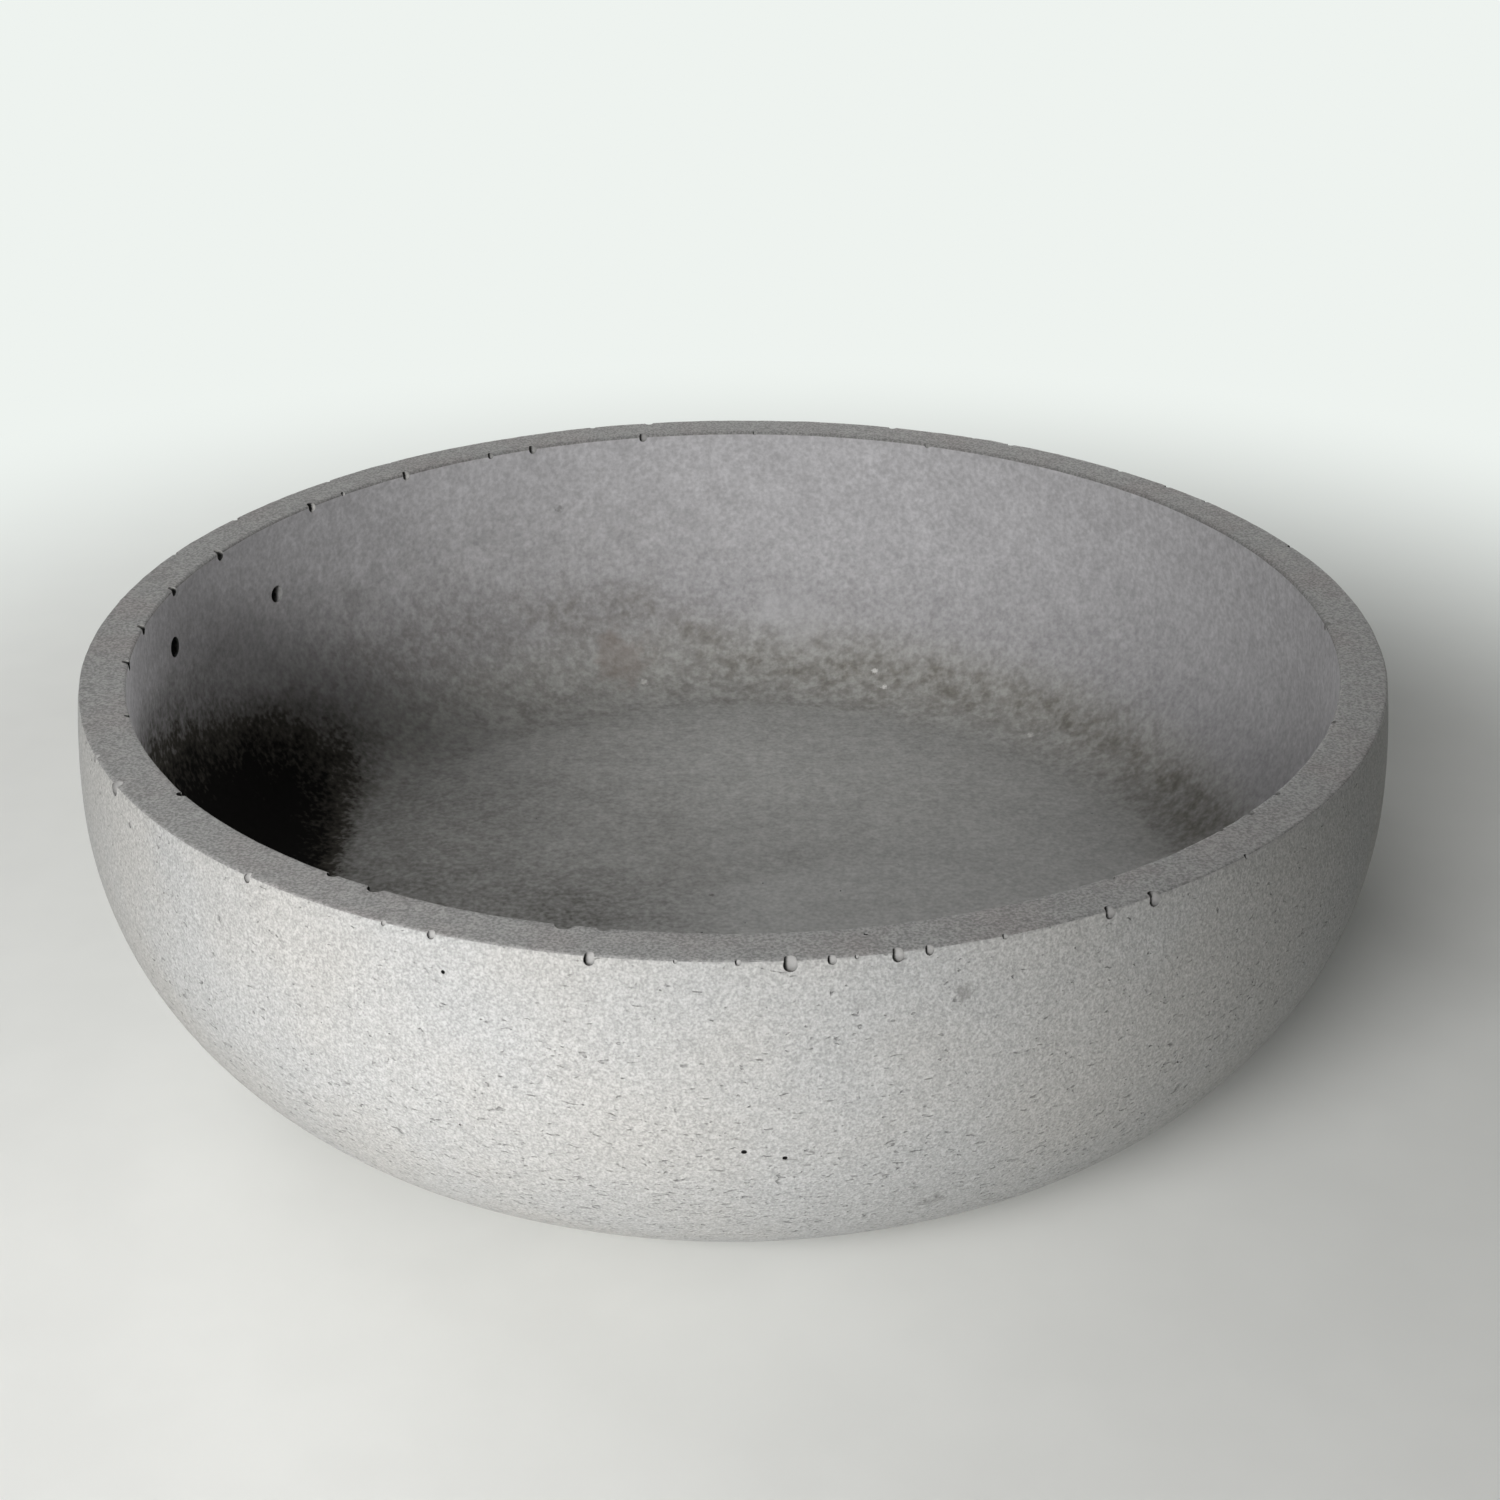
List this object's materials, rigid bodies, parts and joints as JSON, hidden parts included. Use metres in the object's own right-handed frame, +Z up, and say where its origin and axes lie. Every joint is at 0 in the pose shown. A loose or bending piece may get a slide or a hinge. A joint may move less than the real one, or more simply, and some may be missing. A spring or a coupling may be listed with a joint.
{
  "type": "bowl planter",
  "caption": "Low round bowl planter cast in fine grey concrete, with a flat rim, a belly that curves in to a narrower base, and rubber pads under it.",
  "frame": {"origin": "centre of the plane that the foot pads stand on, on the bowl's axis", "axes": "+Z up along the bowl's axis, -Y towards the side that the picture shows, +X to the right there"},
  "size_m": [0.3034, 0.3034, 0.1],
  "materials": {
    "concrete": "bare cast concrete, fine sandy texture with small air holes",
    "pad_rubber": "matt moulded rubber",
    "adhesive": "translucent double-sided film"
  },
  "bodies": {
    "root": {"bowl_casting": "concrete", "right_foot_pad": "pad_rubber", "back_foot_pad": "pad_rubber", "left_foot_pad": "pad_rubber", "front_foot_pad": "pad_rubber", "right_pad_adhesive": "adhesive", "back_pad_adhesive": "adhesive", "left_pad_adhesive": "adhesive", "front_pad_adhesive": "adhesive"}
  },
  "joints": []
}
